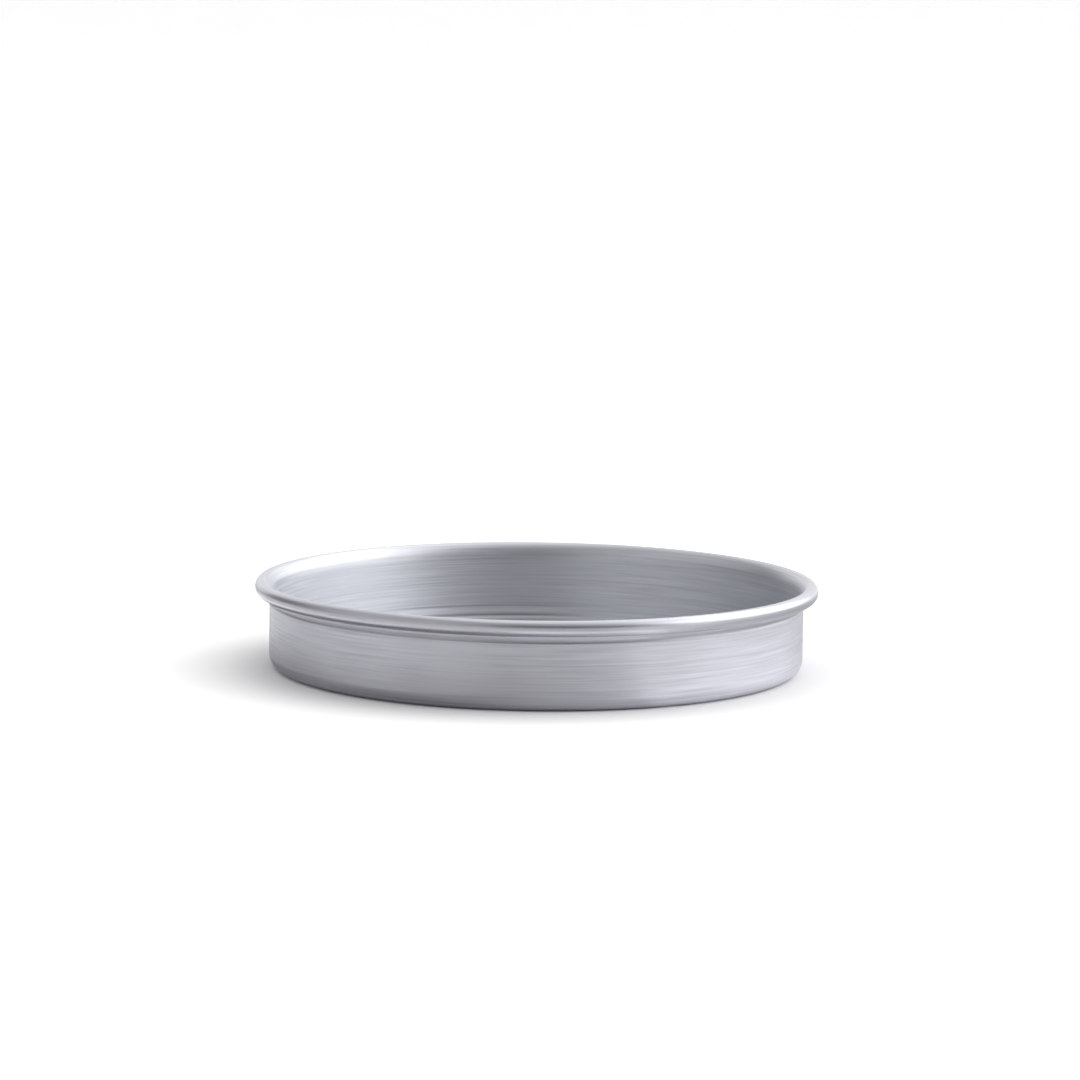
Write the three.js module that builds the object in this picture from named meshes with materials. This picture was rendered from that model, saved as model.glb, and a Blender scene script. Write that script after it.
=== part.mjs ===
// Straight-sided deep dish pizza pan. One disc of aluminium sheet is spun into a floor and a wall,
// and its edge is rolled outwards over a steel wire that keeps the rim round and stiff.
// Millimetres, +Z up, origin at the middle of the underside.
import * as THREE from "three";

// The well: 12 inches across inside, 2 inches tall, in 14 gauge sheet.
const insideDiameter = 304.8;
const overallHeight = 50.8;
const sheetThickness = 1.6;
const floorCornerRadius = 6;

// The rim wire, 5/32 inch, bent into a ring whose cut ends almost meet.
const wireDiameter = 3.97;
const wireClearance = 0.3;
const wireEndGap = 2;

// The roll: round over the wire, straight for a little at its side, then turned in under the wire
// by a lip that stays clear of the wall.
const rollSideHeight = 1.1;
const lipGap = 0.4;
const lipTurn = THREE.MathUtils.degToRad(50);

// The mouth, where the wall flares out to the top of the roll. Most of its height is a slow start.
const mouthHeight = 10;
const mouthSlowShare = 0.63;

// The groove that the closing roller presses round the outside of the wall.
const grooveBelowMouth = 0.75;
const grooveRadius = 3;
const grooveDepth = 0.3;

// Fineness of the faceted solids.
const turnSegments = 72;
const arcStep = THREE.MathUtils.degToRad(18);
const mouthSteps = 7;
const wireSides = 12;

// Places that follow from the sizes above, as (radius, height) in the revolved section.
const insideRadius = insideDiameter / 2;
const rollRadius = wireDiameter / 2 + wireClearance + sheetThickness;
const rollAxis = insideRadius + sheetThickness + lipGap + rollRadius;
const cornerCentre = new THREE.Vector2(
  insideRadius - floorCornerRadius,
  sheetThickness + floorCornerRadius,
);
const mouthFoot = new THREE.Vector2(insideRadius, overallHeight - mouthHeight);
const mouthTop = new THREE.Vector2(rollAxis, overallHeight);
const rollCentre = new THREE.Vector2(rollAxis, overallHeight - rollRadius);
const lipCentre = new THREE.Vector2(rollAxis, rollCentre.y - rollSideHeight);
const grooveHalfAngle = Math.acos(1 - grooveDepth / grooveRadius);
const grooveHalfHeight = grooveRadius * Math.sin(grooveHalfAngle);
const grooveCentre = new THREE.Vector2(
  insideRadius + sheetThickness + grooveRadius - grooveDepth,
  mouthFoot.y - grooveBelowMouth - grooveHalfHeight,
);

const aluminium = new THREE.MeshStandardMaterial({
  color: 0xb9bac1,
  roughness: 0.36,
  metalness: 1,
});
const steel = new THREE.MeshStandardMaterial({
  color: 0x84868a,
  roughness: 0.5,
  metalness: 1,
});

// Points along an arc from one angle to another, both ends included.
function arcPoints(centre, radius, from, to) {
  const steps = Math.ceil(Math.abs(to - from) / arcStep);
  const points = [];
  for (let i = 0; i <= steps; i++) {
    const angle = from + ((to - from) * i) / steps;
    points.push(
      new THREE.Vector2(
        centre.x + radius * Math.cos(angle),
        centre.y + radius * Math.sin(angle),
      ),
    );
  }
  return points;
}

// The flared mouth, moved into the sheet by a depth square to its curve. The level handle is as long
// as it takes for the curve to reach the top with the roll's own radius.
function mouthPoints(depth) {
  const quickRise = mouthHeight * (1 - mouthSlowShare);
  const levelHandle = Math.sqrt((2 / 3) * quickRise * rollRadius);
  const flare = new THREE.CubicBezierCurve(
    mouthFoot,
    new THREE.Vector2(mouthFoot.x, mouthTop.y - quickRise),
    new THREE.Vector2(mouthTop.x - levelHandle, mouthTop.y),
    mouthTop,
  );
  const points = [];
  for (let i = 0; i <= mouthSteps; i++) {
    const place = flare.getPoint(i / mouthSteps);
    const along = flare.getTangent(i / mouthSteps);
    points.push(new THREE.Vector2(place.x + depth * along.y, place.y - depth * along.x));
  }
  return points;
}

// One face of the sheet from the pan's axis to the cut edge of the roll. Depth 0 is the face that
// holds the food and goes on over the roll's outside; the sheet thickness gives the other face,
// with whatever is pressed into the outside of the wall.
function sheetFace(depth, pressedPoints = []) {
  const rollReach = rollRadius - depth;
  return [
    new THREE.Vector2(0, sheetThickness - depth),
    ...arcPoints(cornerCentre, floorCornerRadius + depth, -Math.PI / 2, 0),
    ...pressedPoints,
    ...mouthPoints(depth),
    ...arcPoints(rollCentre, rollReach, Math.PI / 2, 0).slice(1),
    ...arcPoints(lipCentre, rollReach, 0, -Math.PI / 2 - lipTurn),
  ];
}

// Floor, wall, groove, mouth and roll in one revolved sheet.
function makePanShell() {
  const groovePoints = arcPoints(
    grooveCentre,
    grooveRadius,
    Math.PI + grooveHalfAngle,
    Math.PI - grooveHalfAngle,
  );
  const section = [...sheetFace(sheetThickness, groovePoints), ...sheetFace(0).reverse()];
  const shell = new THREE.Mesh(new THREE.LatheGeometry(section, turnSegments), aluminium);
  shell.name = "pan_shell";
  shell.rotation.x = Math.PI / 2;
  return shell;
}

// A level ring about the pan's axis that is open by a short gap at the back.
class OpenRing extends THREE.Curve {
  constructor(radius, gap) {
    super();
    this.radius = radius;
    this.gapAngle = gap / radius;
  }

  getPoint(t, target = new THREE.Vector3()) {
    const start = (Math.PI + this.gapAngle) / 2;
    const angle = start + t * (2 * Math.PI - this.gapAngle);
    return target.set(this.radius * Math.cos(angle), this.radius * Math.sin(angle), 0);
  }
}

// The wire that the rim is rolled over.
function makeRimWire() {
  const section = new THREE.Shape().absarc(0, 0, wireDiameter / 2, 0, 2 * Math.PI, false);
  const geometry = new THREE.ExtrudeGeometry(section, {
    extrudePath: new OpenRing(rollCentre.x, wireEndGap),
    steps: turnSegments,
    curveSegments: wireSides / 2,
    bevelEnabled: false,
  });
  const wire = new THREE.Mesh(geometry, steel);
  wire.name = "rim_wire";
  wire.position.z = rollCentre.y;
  return wire;
}

const pizzaPan = new THREE.Group();
pizzaPan.name = "deep_dish_pizza_pan";
pizzaPan.add(makePanShell(), makeRimWire());

export default pizzaPan;
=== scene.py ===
import math

import bpy
import numpy as np
from mathutils import Matrix, Vector


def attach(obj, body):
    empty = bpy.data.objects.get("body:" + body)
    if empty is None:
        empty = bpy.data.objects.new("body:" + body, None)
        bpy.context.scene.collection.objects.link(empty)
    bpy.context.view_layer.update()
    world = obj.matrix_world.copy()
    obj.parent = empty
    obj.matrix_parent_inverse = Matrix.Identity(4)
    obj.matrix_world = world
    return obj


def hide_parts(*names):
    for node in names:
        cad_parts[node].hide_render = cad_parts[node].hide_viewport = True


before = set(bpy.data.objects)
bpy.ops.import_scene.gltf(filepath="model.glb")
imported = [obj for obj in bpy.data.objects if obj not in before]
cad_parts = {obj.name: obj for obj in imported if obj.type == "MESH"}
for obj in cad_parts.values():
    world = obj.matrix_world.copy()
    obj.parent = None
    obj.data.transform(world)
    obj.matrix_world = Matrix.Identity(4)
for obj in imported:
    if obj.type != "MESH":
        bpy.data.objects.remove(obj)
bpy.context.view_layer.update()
print("frame loaded:", ", ".join(sorted(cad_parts)))

mm = 0.001
scene = bpy.context.scene


# puts a numpy surface into a new mesh object, smooth all over
def newPiece(name, points, faces):
    mesh = bpy.data.meshes.new(name)
    mesh.from_pydata(points.tolist(), [], faces)
    mesh.shade_smooth()
    piece = bpy.data.objects.new(name, mesh)
    scene.collection.objects.link(piece)
    return piece


# one value for each vertex, for a material to read by its name
def pointValue(piece, name, values):
    layer = piece.data.attributes.new(name, "FLOAT", "POINT")
    layer.data.foreach_set("value", np.ascontiguousarray(values, np.float32))


# quads between neighbouring rows of a grid that closes on itself along each row
def ringQuads(rows, columns, first):
    row, column = np.meshgrid(np.arange(rows - 1), np.arange(columns), indexing="ij")
    after = (column + 1) % columns
    corners = [row * columns + column, row * columns + after,
               (row + 1) * columns + after, (row + 1) * columns + column]
    return (np.stack(corners, -1).reshape(-1, 4) + first).tolist()


# one node with its settings and socket values; a value that is a socket is linked
def addNode(tree, kind, settings=None, **sockets):
    made = tree.nodes.new(kind)
    for key, value in (settings or {}).items():
        setattr(made, key, value)
    for key, value in sockets.items():
        target = made.inputs[int(key[1:])] if key[1:].isdigit() else made.inputs[key.replace("_", " ")]
        if isinstance(value, bpy.types.NodeSocket):
            tree.links.new(value, target)
        else:
            target.default_value = value
    return made


# a sum worked out by a Math node from up to three values
def maths(tree, operation, *values):
    sockets = {f"_{place}": value for place, value in enumerate(values)}
    return addNode(tree, "ShaderNodeMath", {"operation": operation}, **sockets).outputs[0]


# a value carried from the range start to end into the range low to high, and held at both ends
def mapped(tree, value, start, end, low=0.0, high=1.0, shape="LINEAR"):
    carried = addNode(tree, "ShaderNodeMapRange", {"interpolation_type": shape}, Value=value,
                      From_Min=start, From_Max=end, To_Min=low, To_Max=high)
    return carried.outputs[0]


# how far a direction goes along another: their dot product
def facing(tree, direction, towards):
    return addNode(tree, "ShaderNodeVectorMath", {"operation": "DOT_PRODUCT"},
                   _0=direction, _1=towards).outputs["Value"]


# a value that pointValue stored
def stored(tree, name):
    return addNode(tree, "ShaderNodeAttribute", {"attribute_name": name}).outputs["Fac"]


# a material with an empty node tree
def newMaterial(name):
    material = bpy.data.materials.new(name)
    material.use_nodes = True
    material.node_tree.nodes.clear()
    return material, material.node_tree


panSheet = {
    "insideRadius": 152.4 * mm,
    "height": 50.8 * mm,
    "thickness": 1.6 * mm,
    "floorCorner": 6.0 * mm,
    "rollRadius": 3.885 * mm,
    "rollSide": 1.1 * mm,            # straight side of the roll
    "rollPaintedShade": -0.12,               # painted shade: that side of the roll darker in colour
    "rollPaintedShadePlaces": (1 * mm, 5 * mm),    # lengths past the rim's top where it starts and is full
    "lipGap": 0.4 * mm,
    "lipTurn": math.radians(50),     # past the roll's lowest point
    "mouthHeight": 10 * mm,
    "mouthQuickRise": 3.7 * mm,      # height left when the flare turns over
    "grooveBelowMouth": 0.75 * mm,
    "grooveRadius": 3.0 * mm,
    "grooveDepth": 0.3 * mm,
    "groovePaintedShade": -0.25,             # painted shade in the groove
    "columns": 160,
    "foodRows": {"floor": 80, "corner": 30, "wall": 150, "mouth": 30,
                 "rollTop": 18, "rollSide": 4, "lip": 26},
    "outerRows": {"floor": 44, "corner": 20, "wall": 150, "mouth": 14,
                  "rollTop": 8, "rollSide": 3, "lip": 12},
}
cornerCentre = (panSheet["insideRadius"] - panSheet["floorCorner"],
                panSheet["thickness"] + panSheet["floorCorner"])
mouthFoot = (panSheet["insideRadius"], panSheet["height"] - panSheet["mouthHeight"])
rollAxis = panSheet["insideRadius"] + panSheet["thickness"] + panSheet["lipGap"] + panSheet["rollRadius"]
grooveHalf = math.sqrt(panSheet["grooveRadius"] ** 2
                       - (panSheet["grooveRadius"] - panSheet["grooveDepth"]) ** 2)
grooveMiddle = mouthFoot[1] - panSheet["grooveBelowMouth"] - grooveHalf

spinMarks = {
    "seed": 5,
    "perMetre": 1500,        # grooves for each metre along the sheet
    "width": (0.15 * mm, 0.45 * mm),
    "leastRows": 1.3,        # and no narrower than this many rows
    "depth": (0.002 * mm, 0.02 * mm),
    "tint": -0.12,           # change of colour in the deepest
    "onRoll": 0.1,           # what the polished roll keeps of them
    "onFloor": 0.25,         # and the flat floor
    "floorFade": (20 * mm, 10 * mm),    # from the middle, and before the corner
    "wander": 1.2 * mm,      # most that a groove strays along the sheet
    "strays": (1, 4),        # times it does so round the pan, the last left out
    "lobes": (2, 9),         # places round the pan where a groove is deep, the last left out
    "lobeFade": (0.45, 0.55),    # its mean strength and how much that swings
}
# rings the spinning tool left at the floor corner; their dark lines are painted shade and the bands between
# them painted highlight
cornerRingsAndPaintedLight = {
    "lobes": 4,              # places round the pan where they show most
    "turn": math.radians(105),
    "lobeFade": (0.5, 0.9),
    "least": 0.15,           # what is left of them between the lobes
    # height over the corner's top, width, depth, tint, where a tint below zero is painted shade and above
    # zero painted highlight
    "rings": (
        (4.5 * mm, 0.5 * mm, 0.06 * mm, -0.25),
        (1.8 * mm, 1.8 * mm, 0.0, 0.22),
        (-1.3 * mm, 0.6 * mm, 0.12 * mm, -0.45),
        (-2.9 * mm, 0.8 * mm, 0.0, 0.2),
        (-4.6 * mm, 1.0 * mm, 0.06 * mm, -0.35),
    ),
}


# points of a circular arc in the (radius, height) section
def arc(centre, radius, start, end, count):
    angle = np.linspace(start, end, count)
    return np.stack([centre[0] + radius * np.cos(angle), centre[1] + radius * np.sin(angle)], 1)


# straight run of the section without its last point
def run(start, end, count):
    return np.linspace(start, end, count, endpoint=False)


# bell-shaped bump of height 1: e to the minus square of distance over width
def bell(distance, width):
    return np.exp(-(distance / width) ** 2)


# the flared mouth, a cubic curve from the upright wall to the level top, moved square to itself by depth;
# its level handle is as long as it takes to arrive with the roll's radius
def mouth(depth, count):
    quickRise, top = panSheet["mouthQuickRise"], (rollAxis, panSheet["height"])
    levelHandle = math.sqrt(2 / 3 * quickRise * panSheet["rollRadius"])
    ends = np.array([mouthFoot, (mouthFoot[0], top[1] - quickRise), (top[0] - levelHandle, top[1]), top])
    t = np.linspace(0, 1, count)[:, None]
    u = 1 - t
    place = u ** 3 * ends[0] + 3 * u * u * t * ends[1] + 3 * u * t * t * ends[2] + t ** 3 * ends[3]
    going = u * u * (ends[1] - ends[0]) + 2 * u * t * (ends[2] - ends[1]) + t * t * (ends[3] - ends[2])
    going /= np.linalg.norm(going, axis=1, keepdims=True)
    return place + depth * np.stack([going[:, 1], -going[:, 0]], 1)


# how far the round-nosed groove goes in at each height: the part of its circle that passes the wall
def grooveDent(height):
    radius = panSheet["grooveRadius"]
    nose = np.sqrt(np.clip(radius ** 2 - (height - grooveMiddle) ** 2, 0, None))
    return np.clip(nose - (radius - panSheet["grooveDepth"]), 0, None)


# one face of the sheet: floor line, corner arc, wall line with the groove on its outer side only, the
# flared mouth, then the roll as an arc, a short straight side and a longer arc to the lip
def sheetFace(depth, rows):
    p = panSheet
    wall = p["insideRadius"] + depth
    floorTop = p["thickness"] - depth
    upper = (rollAxis, p["height"] - p["rollRadius"])
    lower = (rollAxis, upper[1] - p["rollSide"])
    rollReach = p["rollRadius"] - depth
    upright = run((wall, cornerCentre[1]), (wall, mouthFoot[1]), rows["wall"])[1:]
    if depth > 0:
        upright[:, 0] -= grooveDent(upright[:, 1])
    return np.concatenate([
        run((0, floorTop), (cornerCentre[0], floorTop), rows["floor"]),
        arc(cornerCentre, p["floorCorner"] + depth, -math.pi / 2, 0, rows["corner"]),
        upright,
        mouth(depth, rows["mouth"]),
        arc(upper, rollReach, math.pi / 2, 0, rows["rollTop"])[1:],
        run((rollAxis + rollReach, upper[1]), (rollAxis + rollReach, lower[1]), rows["rollSide"])[1:],
        arc(lower, rollReach, 0, -math.pi / 2 - p["lipTurn"], rows["lip"]),
    ])


# length along the section from its first point
def alongSection(section):
    return np.concatenate([[0], np.cumsum(np.linalg.norm(np.diff(section, axis=0), axis=1))])


# strength that swings round the pan: the mean plus the swing times the cosine of the lobes' angle
def swings(lobeFade, lobeAngle, least):
    mean, swing = lobeFade
    return np.clip(mean + swing * np.cos(lobeAngle), least, 1)


# sum of many shallow bell-shaped grooves along the sheet; each strays and fades in and out round the pan,
# and none is narrower than the rows there can show
def spinDepth(along, angle, draw):
    m = spinMarks
    count = int(m["perMetre"] * along[-1])
    place = draw.uniform(0, along[-1], count)
    width = draw.uniform(*m["width"], count)
    width = np.maximum(width, m["leastRows"] * np.interp(place, along, np.gradient(along)))
    shallow, deep = m["depth"]
    depth = shallow + (deep - shallow) * draw.uniform(0, 1, count) ** 2
    lobes, strays = draw.integers(*m["lobes"], count), draw.integers(*m["strays"], count)
    phase, swing = draw.uniform(0, 2 * math.pi, (2, count))
    around = angle[:, None]
    centre = place + m["wander"] * draw.uniform(0, 1, count) * np.cos(strays * around + swing)
    strength = depth * swings(m["lobeFade"], lobes * around + phase, 0)
    pressed = np.zeros((len(along), len(angle)))
    for mark in range(count):
        pressed += bell(along[:, None] - centre[:, mark], width[mark]) * strength[:, mark]
    return pressed


# one face of the sheet with its marks pressed in, as a grid of (radius, height), and what the metal's finish
# reads there: length along the sheet, how far inside, roughness, and the spin marks' tone with painted shade
# and highlight
def markedFace(food, angle, draw):
    p, m, s, c = panSheet, spinMarks, spunAluminium, cornerRingsAndPaintedLight
    rows = p["foodRows"] if food else p["outerRows"]
    section = sheetFace(0.0 if food else p["thickness"], rows)
    along = alongSection(section)
    tangent = np.gradient(section, axis=0)
    tangent /= np.linalg.norm(tangent, axis=1, keepdims=True)
    outward = np.stack([tangent[:, 1], -tangent[:, 0]], 1) * (-1 if food else 1)
    pastTop = along - along[np.argmax(section[:, 1])]
    kept = np.interp(pastTop, s["finishPlaces"][:2], (1, m["onRoll"]))
    fromMiddle, beforeCorner = m["floorFade"]
    kept *= np.interp(section[:, 0], (0, fromMiddle, cornerCentre[0] - beforeCorner, cornerCentre[0]),
                      (0, m["onFloor"], m["onFloor"], 1))
    pressed = spinDepth(along, angle, draw) * kept[:, None]
    marksAndPaintedLight = 1 + m["tint"] * pressed / m["depth"][1]
    rough = s["roughness"]
    if food:
        # painted shade: the roll's outer side and underside darker in colour
        marksAndPaintedLight += p["rollPaintedShade"] * np.interp(pastTop, p["rollPaintedShadePlaces"], (0, 1))[:, None]
        overCorner = along - along[rows["floor"] + rows["corner"] - 1]
        fade = swings(c["lobeFade"], c["lobes"] * (angle - c["turn"]), c["least"])
        # the rings' tint paints shade into the dark lines and highlight into the bands between them
        for height, width, depth, tint in c["rings"]:
            ring = bell(overCorner - height, width)[:, None] * fade
            pressed += depth * ring
            marksAndPaintedLight += tint * ring
        inside = np.clip(-pastTop / s["insideFade"], 0, 1)
        finish = np.interp(pastTop, s["finishPlaces"], (rough["inside"], rough["mouth"], rough["roll"]))
    else:
        along = along + s["outerShift"]
        # painted shade in the groove under the mouth
        marksAndPaintedLight += p["groovePaintedShade"] * bell(section[:, 1] - grooveMiddle, grooveHalf)[:, None]
        inside = np.zeros(len(section))
        finish = np.full(len(section), rough["outside"])
    grid = section[:, None, :] - outward[:, None, :] * pressed[:, :, None]
    levels = {"alongSheet": along, "inside": inside, "finish": finish}
    values = {name: np.repeat(level[:, None], len(angle), 1) for name, level in levels.items()}
    return grid, {**values, "marksAndPaintedLight": marksAndPaintedLight}


# a grid as one row of points, with its first and last rows, which lie on the axis, as single points
def poled(grid):
    return np.concatenate([grid[0, :1], grid[1:-1].reshape(-1, *grid.shape[2:]), grid[-1, :1]])


# both faces joined at the lip and turned about the axis: x = r cos a, y = r sin a
def makePan():
    columns = panSheet["columns"]
    angle = np.arange(columns) * 2 * math.pi / columns
    draw = np.random.default_rng(spinMarks["seed"])
    outerGrid, outerValues = markedFace(False, angle, draw)
    foodGrid, foodValues = markedFace(True, angle, draw)
    grid = np.concatenate([outerGrid, foodGrid[::-1]])
    r, z = grid[..., 0], grid[..., 1]
    points = np.stack([r * np.cos(angle), r * np.sin(angle), z], -1)
    rings = len(points) - 2
    column = np.arange(columns)
    after = (column + 1) % columns
    last, lastRing = 1 + rings * columns, 1 + (rings - 1) * columns
    faces = ringQuads(rings, columns, 1)
    faces += np.stack([np.zeros_like(column), 1 + after, 1 + column], 1).tolist()
    faces += np.stack([np.full_like(column, last), lastRing + column, lastRing + after], 1).tolist()
    pan = newPiece("panShell", poled(points), faces)
    for name, values in outerValues.items():
        pointValue(pan, name, poled(np.concatenate([values, foodValues[name][::-1]])))
    return pan


spunAluminium = {
    # the outside's colour is a darker copy of the inside's, painted shade
    "insideColour": (0.74, 0.75, 0.795, 1),
    "outsideShadedColour": (0.71, 0.71, 0.775, 1),
    "insideFade": 4 * mm,           # length before the rim's top over which one turns into the other
    "tintVary": (0.03, 0.13),       # where the streaks are faint and where they are strong
    "roughness": {"inside": 0.5, "outside": 0.46, "mouth": 0.42, "roll": 0.34},
    "finishPlaces": (-9 * mm, -2 * mm, 1 * mm),    # lengths past the rim's top: inside, mouth, roll
    "roughVary": 0.12,
    "cloudShare": 0.6,              # what clouds make of that, and rings the rest
    "anisotropy": 0.6,
    "brushTurn": 0.25,              # of a full turn, so that gloss is drawn out across the rings
    "bumpDepth": 0.012 * mm,
    # scale round the pan, scale along the sheet and detail of the noise
    "rings": {"broad": (20, 800, 3), "middle": (20, 1300, 3), "fine": (26, 4800, 2)},
    "ringSpread": (0.3, 0.7),       # between these lies most of the noise
    "cloud": {"Scale": 16, "Detail": 3},
    "cloudSpread": (0.35, 0.65),
    "outerShift": 1.0,              # keeps the outer face's rings apart from the inner face's
}


# bare spun aluminium: rings that run round the pan, read from the distance along the sheet; the broad ones
# tint it, the middle ones and clouds vary its roughness, and the middle and fine ones are its bump
def makeAluminium():
    s = spunAluminium
    material, tree = newMaterial("spunAluminium")
    place = addNode(tree, "ShaderNodeTexCoord").outputs["Object"]
    split = addNode(tree, "ShaderNodeSeparateXYZ", Vector=place).outputs
    level = addNode(tree, "ShaderNodeCombineXYZ", X=split["X"], Y=split["Y"]).outputs[0]
    along = stored(tree, "alongSheet")

    # noise that is drawn out round the pan by roundScale and packed along the sheet by sheetScale
    def rings(roundScale, sheetScale, detail):
        packed = maths(tree, "MULTIPLY", along, sheetScale)
        lift = addNode(tree, "ShaderNodeCombineXYZ", Z=packed).outputs[0]
        at = addNode(tree, "ShaderNodeVectorMath", {"operation": "MULTIPLY_ADD"},
                     _0=level, _1=(roundScale,) * 3, _2=lift).outputs[0]
        return addNode(tree, "ShaderNodeTexNoise", Vector=at, Scale=1, Detail=detail).outputs["Fac"]

    broad, middle, fine = (rings(*s["rings"][kind]) for kind in ("broad", "middle", "fine"))
    cloud = addNode(tree, "ShaderNodeTexNoise", Vector=place, **s["cloud"]).outputs["Fac"]
    metal = addNode(tree, "ShaderNodeMix", {"data_type": "RGBA"}, _0=stored(tree, "inside"),
                    _6=s["outsideShadedColour"], _7=s["insideColour"]).outputs[2]
    streak = mapped(tree, broad, *s["ringSpread"], -1.0, 1.0)
    vary = mapped(tree, cloud, *s["cloudSpread"], *s["tintVary"])
    tint = maths(tree, "MULTIPLY_ADD", streak, vary, 1.0)
    # the marks' tone with the painted shade and highlight multiplies the colour
    tint = maths(tree, "MULTIPLY", tint, stored(tree, "marksAndPaintedLight"))
    colour = addNode(tree, "ShaderNodeVectorMath", {"operation": "SCALE"}, _0=metal, _3=tint).outputs[0]
    mixed = maths(tree, "MULTIPLY", cloud, s["cloudShare"])
    mixed = maths(tree, "MULTIPLY_ADD", middle, 1 - s["cloudShare"], mixed)
    rough = mapped(tree, mixed, *s["ringSpread"], 1 - s["roughVary"], 1 + s["roughVary"])
    rough = maths(tree, "MULTIPLY", stored(tree, "finish"), rough)
    height = maths(tree, "ADD", middle, fine)
    bump = addNode(tree, "ShaderNodeBump", Strength=1.0, Distance=s["bumpDepth"], Height=height).outputs[0]
    tangent = addNode(tree, "ShaderNodeTangent", {"direction_type": "RADIAL", "axis": "Z"}).outputs[0]
    shader = addNode(tree, "ShaderNodeBsdfPrincipled", Base_Color=colour, Metallic=1.0, Roughness=rough,
                     Anisotropic=s["anisotropy"], Anisotropic_Rotation=s["brushTurn"],
                     Normal=bump, Tangent=tangent)
    addNode(tree, "ShaderNodeOutputMaterial", Surface=shader.outputs[0])
    return material


pan = makePan()
pan.data.materials.append(makeAluminium())
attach(pan, "root")
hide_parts("pan_shell")
print("pan shell:", len(pan.data.vertices), "vertices")

drawnWire = {
    "colour": (0.5, 0.5, 0.52, 1),
    "roughness": (0.3, 0.5),
    "grain": {"Scale": 900, "Detail": 2},
}


# drawn steel wire with a fine grain in its gloss
def makeSteel():
    s = drawnWire
    material, tree = newMaterial("drawnSteel")
    place = addNode(tree, "ShaderNodeTexCoord").outputs["Object"]
    grain = addNode(tree, "ShaderNodeTexNoise", Vector=place, **s["grain"]).outputs["Fac"]
    rough = mapped(tree, grain, 0.0, 1.0, *s["roughness"])
    shader = addNode(tree, "ShaderNodeBsdfPrincipled", Base_Color=s["colour"], Metallic=1.0, Roughness=rough)
    addNode(tree, "ShaderNodeOutputMaterial", Surface=shader.outputs[0])
    return material


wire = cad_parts["rim_wire"]
wire.data.materials.clear()
wire.data.materials.append(makeSteel())
print("rim wire: steel")

paleSweep = {
    "colour": (0.94, 0.94, 0.94, 1),
    "floorGlow": 0.5,            # what the camera and the metal see of it over the light that falls on it
    "backdropGlow": 0.42,
    "shadeReach": 0.25,          # how far from the pan the glow fades, a painted shadow round the pan
    "shadePower": 2.0,
    "floorHalfWidth": 8.0,
    "backdropHalfWidth": 3.2,
    "front": -7.0,
    "back": 3.0,
    "bend": 1.0,
    "bendRows": 25,
    "top": 4.0,
}


# floor that bends up into a narrower backdrop: a section of line, quarter turn and line, carried across
def makeSweep():
    s = paleSweep
    bend = np.linspace(-math.pi / 2, 0, s["bendRows"])
    turned = np.stack([s["back"] + s["bend"] * np.cos(bend), s["bend"] * (1 + np.sin(bend))], 1)
    floorLine = [(s["front"], 0), (s["back"], 0)]
    section = np.concatenate([floorLine, turned, [(s["back"] + s["bend"], s["top"])]])
    reach = np.full(len(section), s["backdropHalfWidth"])
    reach[:len(floorLine)] = s["floorHalfWidth"]
    points = np.stack([np.stack([side * reach, *section.T], 1) for side in (-1, 1)], 1).reshape(-1, 3)
    # no face from the floor's end to the bend's start
    start = np.delete(np.arange(len(section) - 1), len(floorLine) - 1) * 2
    faces = np.stack([start, start + 1, start + 3, start + 2], 1).tolist()
    sweep = newPiece("sweep", points, faces)
    material, tree = newMaterial("paleSweep")
    paths = addNode(tree, "ShaderNodeLightPath").outputs
    seen = maths(tree, "MAXIMUM", paths["Is Camera Ray"], paths["Is Glossy Ray"])
    seen = maths(tree, "MAXIMUM", seen, paths["Is Transmission Ray"])
    # the glow fades near the pan where it is hidden, a painted shadow on the floor
    clear = addNode(tree, "ShaderNodeAmbientOcclusion", Distance=s["shadeReach"]).outputs["AO"]
    glow = maths(tree, "MULTIPLY", seen, maths(tree, "POWER", clear, s["shadePower"]))
    place = addNode(tree, "ShaderNodeTexCoord").outputs["Object"]
    height = addNode(tree, "ShaderNodeSeparateXYZ", Vector=place).outputs["Z"]
    strength = mapped(tree, height, 0.0, s["bend"], s["floorGlow"], s["backdropGlow"])
    glow = maths(tree, "MULTIPLY", glow, strength)
    lit = addNode(tree, "ShaderNodeBsdfDiffuse", Color=s["colour"])
    white = addNode(tree, "ShaderNodeEmission", Strength=glow)
    both = addNode(tree, "ShaderNodeAddShader", _0=lit.outputs[0], _1=white.outputs[0])
    addNode(tree, "ShaderNodeOutputMaterial", Surface=both.outputs[0])
    sweep.data.materials.append(material)


greyCards = {
    "height": 0.3 * mm,
    "columns": 60,
    "endFade": math.radians(40),
    # greys at some radii, and degrees turned from the front to the right
    "cards": {
        # the near card is a painted shadow of the pan on the floor, the others painted shade of darker
        # ground
        "nearCard": {"radius": (0.149, 0.16, 0.18, 0.21), "grey": (0.85, 0.62, 0.22, 0.94),
                     "turn": (-160, 25)},
        "leftCard": {"radius": (0.21, 0.25), "grey": (0.94, 0.94), "turn": (-40, -6)},
        "farCard": {"radius": (0.37, 0.45, 3.0), "grey": (0.94, 0.25, 0.3), "turn": (-160, 60)},
        "rightCard": {"radius": (0.165, 0.3, 3.0), "grey": (0.8, 0.5, 0.3), "turn": (34, 150)},
    },
}


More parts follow.
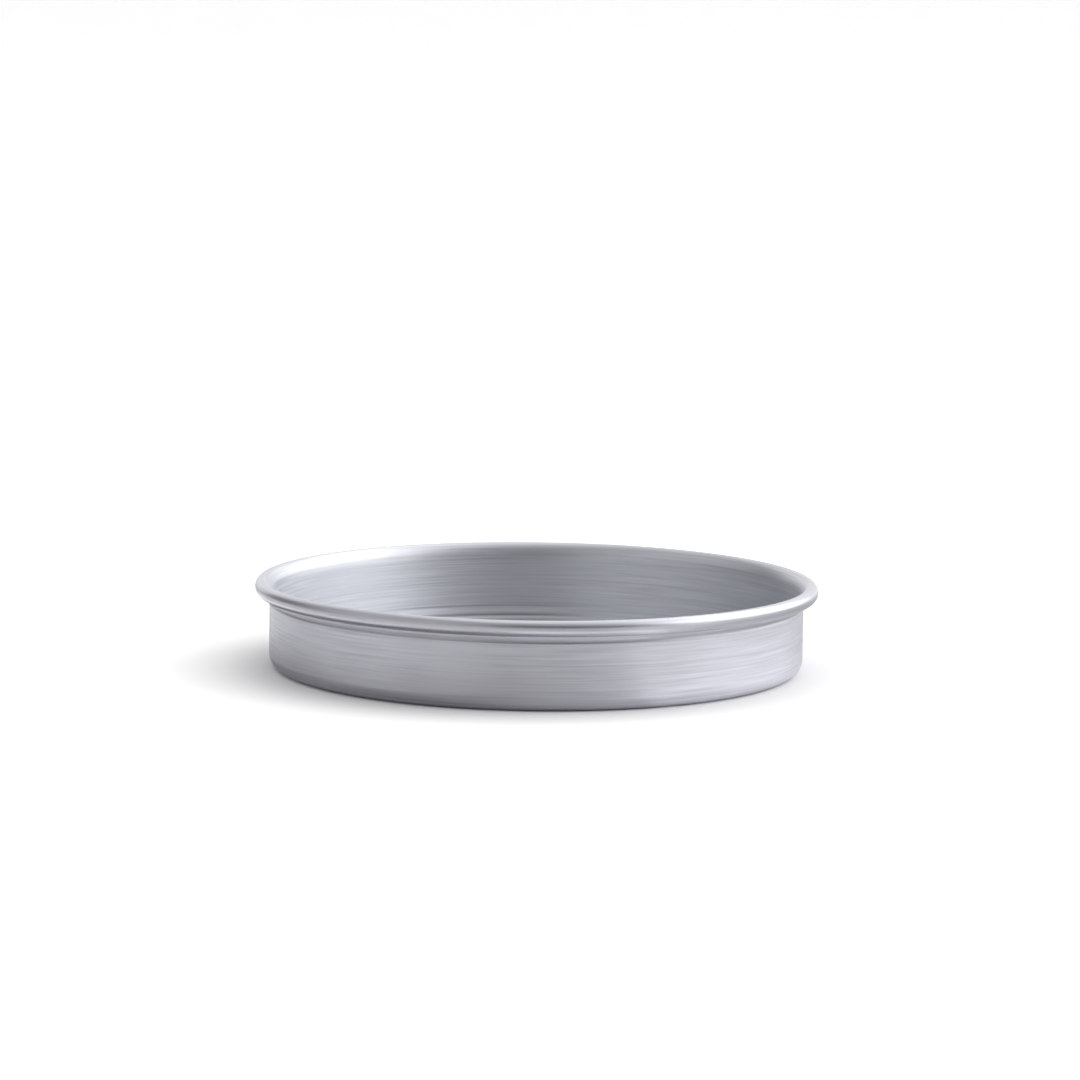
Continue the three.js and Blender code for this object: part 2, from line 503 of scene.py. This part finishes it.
# grey card that lies on the floor round the pan, a flat ring sector that only the metal sees, as painted
# shade in its reflections; its grey changes with the radius and fades to the floor's colour at both ends of
# the turn, and it has no glow
def makeCard(name, radius, grey, turn):
    s = greyCards
    floorGrey = paleSweep["colour"][0]
    turn = np.radians(np.linspace(*turn, s["columns"]))
    a, r = np.meshgrid(turn, radius)
    points = np.stack([r * np.sin(a), -r * np.cos(a), np.full_like(r, s["height"])], -1).reshape(-1, 3)
    row, column = np.meshgrid(np.arange(len(radius) - 1), np.arange(len(turn) - 1), indexing="ij")
    corner = (row * len(turn) + column).ravel()
    faces = np.stack([corner + 1, corner + len(turn) + 1, corner + len(turn), corner], 1).tolist()
    card = newPiece(name, points, faces)
    strength = np.clip(np.minimum(a - turn[0], turn[-1] - a) / s["endFade"], 0, 1)
    pointValue(card, "grey", (floorGrey + (np.array(grey)[:, None] - floorGrey) * strength).ravel())
    material, tree = newMaterial(name + "ShadeInReflection")
    shadeInReflection = addNode(tree, "ShaderNodeBsdfDiffuse", Color=stored(tree, "grey"))
    addNode(tree, "ShaderNodeOutputMaterial", Surface=shadeInReflection.outputs[0])
    card.data.materials.append(material)
    card.visible_camera = card.visible_shadow = card.visible_diffuse = False


# light of the sky: level all over, from above, and from soft windows, each with its turn from the front
# to the right and the cosines between which it fades in
sky = {
    "level": 0.155,
    "above": 1.05,
    "abovePower": 1.5,
    "aboveTip": math.radians(38),
    "aboveTurn": math.radians(140),
    "windows": {
        "right": {"light": 1.85, "turn": math.radians(113), "fade": (0.34, 0.8)},
        "left": {"light": 0.5, "turn": math.radians(-62), "fade": (0.5, 0.95)},
        "front": {"light": -0.06, "turn": math.radians(6), "fade": (0.8, 0.97)},    # a dark flag
    },
    "windowTop": (0.92, 0.42),   # upward parts of the direction between which the windows end
    "windowFoot": (0.0, 0.5),    # and between which they brighten
    "footLight": 0.58,
}


# sky: level + above times a power of the cosine from a tipped upright + the windows, each faded towards
# its sides, the top and the foot
def makeSky():
    world = bpy.data.worlds.new("studioSky")
    world.use_nodes = True
    tree = world.node_tree
    tree.nodes.clear()
    toSky = addNode(tree, "ShaderNodeTexCoord").outputs["Generated"]
    split = addNode(tree, "ShaderNodeSeparateXYZ", Vector=toSky).outputs
    level = addNode(tree, "ShaderNodeCombineXYZ", X=split["X"], Y=split["Y"]).outputs[0]
    level = addNode(tree, "ShaderNodeVectorMath", {"operation": "NORMALIZE"}, _0=level).outputs[0]
    tip, turn = sky["aboveTip"], sky["aboveTurn"]
    tipped = (math.sin(tip) * math.sin(turn), -math.sin(tip) * math.cos(turn), math.cos(tip))
    high = maths(tree, "MAXIMUM", facing(tree, toSky, tipped), 0.0)
    high = maths(tree, "POWER", high, sky["abovePower"])
    total = maths(tree, "MULTIPLY_ADD", high, sky["above"], sky["level"])
    topFade = mapped(tree, split["Z"], *sky["windowTop"], shape="SMOOTHSTEP")
    footFade = mapped(tree, split["Z"], *sky["windowFoot"], sky["footLight"], 1.0)
    heightFade = maths(tree, "MULTIPLY", topFade, footFade)
    for window in sky["windows"].values():
        towards = (math.sin(window["turn"]), -math.cos(window["turn"]), 0)
        near = facing(tree, level, towards)
        light = mapped(tree, near, *window["fade"], 0.0, window["light"], "SMOOTHSTEP")
        total = maths(tree, "MULTIPLY_ADD", light, heightFade, total)
    shine = addNode(tree, "ShaderNodeBackground", Color=(1, 1, 1, 1), Strength=total)
    addNode(tree, "ShaderNodeOutputWorld", Surface=shine.outputs[0])
    scene.world = world


makeSweep()
for name, facts in greyCards["cards"].items():
    makeCard(name, **facts)
makeSky()
scene.view_settings.view_transform = "Standard"
print("stage and sky")

cameraView = {
    "distance": 2.12,
    "elevation": math.radians(9.565),
    "lens": 121.93,
    "sensor": 36,
    "pitchUp": math.radians(1.962),
    "yawRight": math.radians(0.067),
    "roll": math.radians(0.73),
}


# looks at the origin from the elevation, rolls, then tips up and right so the pan sits low in the frame
def aimCamera():
    v = cameraView
    eye = Vector((0, -math.cos(v["elevation"]), math.sin(v["elevation"]))) * v["distance"]
    forward, right = -eye.normalized(), Vector((1, 0, 0))
    up = right.cross(forward)
    rolledUp = up * math.cos(v["roll"]) - right * math.sin(v["roll"])
    rolledRight = right * math.cos(v["roll"]) + up * math.sin(v["roll"])
    aim = forward + rolledUp * math.tan(v["pitchUp"]) + rolledRight * math.tan(v["yawRight"])
    back = -aim.normalized()
    xAxis = rolledUp.cross(back).normalized()
    yAxis = back.cross(xAxis)
    lens = bpy.data.cameras.new("photoView")
    lens.lens = v["lens"]
    lens.sensor_width = v["sensor"]
    camera = bpy.data.objects.new("photoView", lens)
    camera.matrix_world = Matrix.Translation(eye) @ Matrix((xAxis, yAxis, back)).transposed().to_4x4()
    scene.collection.objects.link(camera)
    scene.camera = camera


aimCamera()
print("camera aimed")
